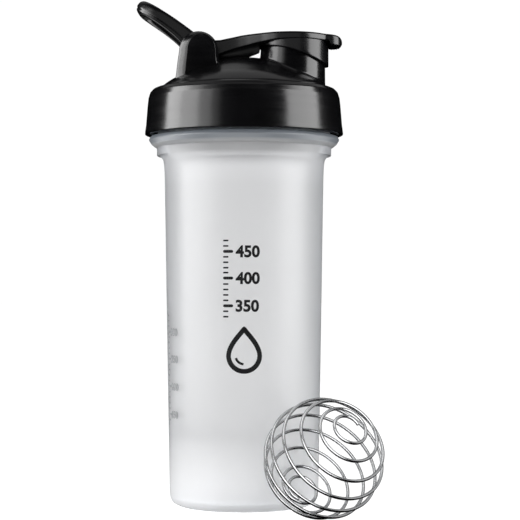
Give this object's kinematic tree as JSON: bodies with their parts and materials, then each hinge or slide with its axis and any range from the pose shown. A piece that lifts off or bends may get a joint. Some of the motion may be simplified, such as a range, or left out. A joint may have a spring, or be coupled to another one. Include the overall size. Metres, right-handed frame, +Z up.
{
  "type": "protein shaker bottle",
  "caption": "Translucent tapering shaker tumbler with a screw lid, drinking spout under a flip cap, hinged carry loop and a loose wire whisk ball.",
  "frame": {"origin": "centre of the tumbler's flat underside, on the bottle's axis", "axes": "+Z up along the bottle's axis, +X from the hinge side towards the drinking spout, +Y towards the back"},
  "size_m": [0.1145, 0.1289, 0.2411],
  "materials": {
    "tumbler": "frosted translucent",
    "lid": "satin black",
    "cap": "satin black",
    "loop": "satin black",
    "pin": "moulded",
    "seal": "silicone",
    "wire": "drawn stainless wire"
  },
  "bodies": {
    "bottle": {"bottle_body": "tumbler"},
    "seal": {"lid_seal": "seal"},
    "lid": {"lid_shell": "lid", "hinge_pin": "pin"},
    "cap": {"flip_cap": "cap"},
    "loop": {"carry_loop": "loop"},
    "whisk": {"whisk_ball": "wire"}
  },
  "joints": [
    {"name": "lid_lift", "type": "slide", "parent": "bottle", "child": "seal", "axis": [0, 0, 1], "range_m": [0, 0.02401]},
    {"name": "lid_turn", "type": "hinge", "parent": "seal", "child": "lid", "pos_m": [0, 0, 0.1771], "axis": [0, 0, 1], "range_deg": [0, 720]},
    {"name": "flip_cap_hinge", "type": "hinge", "parent": "lid", "child": "cap", "pos_m": [-0.0218, 0, 0.2163], "axis": [0, -1, 0], "range_deg": [0, 105]},
    {"name": "carry_loop_hinge", "type": "hinge", "parent": "lid", "child": "loop", "pos_m": [-0.0218, 0, 0.2163], "axis": [0, -1, 0], "range_deg": [-5, 64]},
    {"name": "whisk_lift", "type": "slide", "parent": "bottle", "child": "whisk", "axis": [0.1145, -0.1632, 0.9799], "range_m": [0, 0.25]}
  ],
  "couplings": [
    {"joint": "lid_lift", "follows": "lid_turn", "m_per_rad": 0.0019099}
  ]
}
